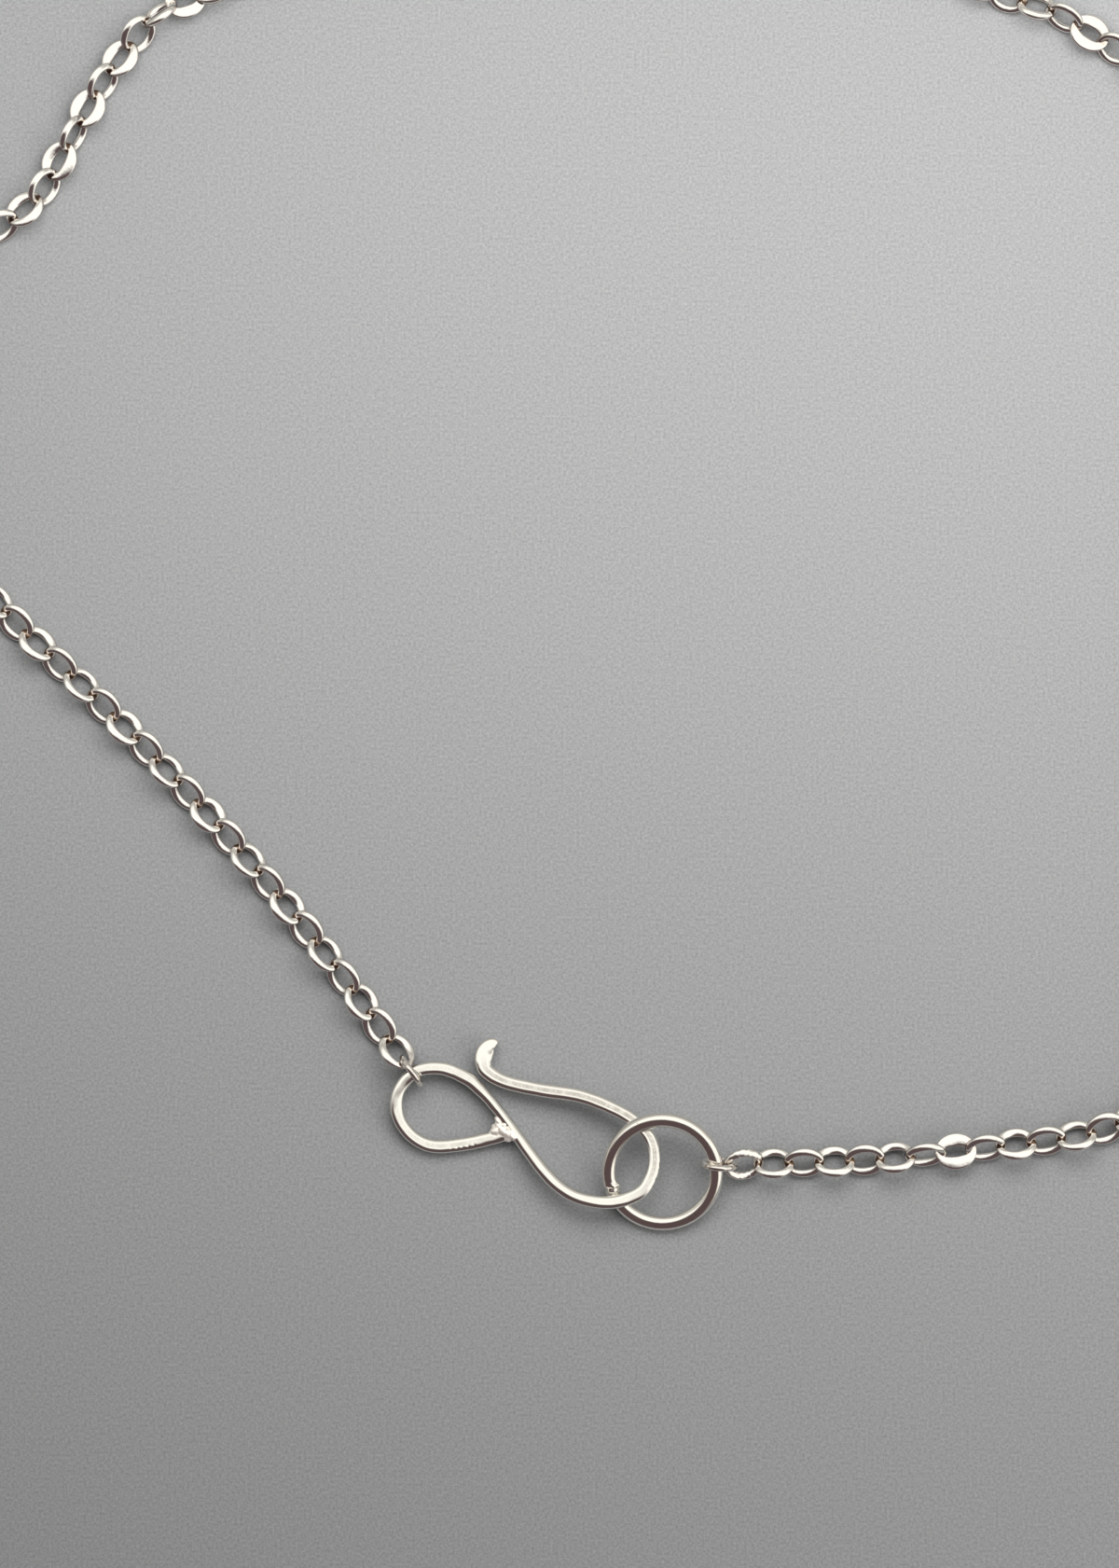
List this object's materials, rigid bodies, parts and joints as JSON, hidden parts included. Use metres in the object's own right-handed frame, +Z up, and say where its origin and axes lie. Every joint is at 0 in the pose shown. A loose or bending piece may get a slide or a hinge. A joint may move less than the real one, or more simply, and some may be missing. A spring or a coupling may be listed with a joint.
{
  "type": "necklace",
  "caption": "Silver flat cable chain necklace lying closed in a loop, fastened by a hammered S-shaped wire hook in a round ring.",
  "frame": {"origin": "middle of the necklace's outline in plan, on the table that it lies on", "axes": "+Z up from the table; +X along the loop's longest side, from the hook towards the ring; +Y from the clasp towards the far side of the loop"},
  "size_m": [0.1284, 0.1256, 0.004],
  "materials": {
    "hook_clasp": "hammered and polished silver wire, flat on top with bevelled sides",
    "clasp_ring": "polished round silver wire with one soldered seam",
    "hook_end_link": "small polished silver ring",
    "ring_end_link": "small polished silver ring",
    "chain_hook_side": "silver wire links, flattened and polished",
    "chain_ring_side": "silver wire links, flattened and polished"
  },
  "bodies": {
    "root": {"hook_clasp": "hook_clasp", "clasp_ring": "clasp_ring", "hook_end_link": "hook_end_link", "ring_end_link": "ring_end_link", "chain_hook_side": "chain_hook_side", "chain_ring_side": "chain_ring_side"}
  },
  "joints": []
}
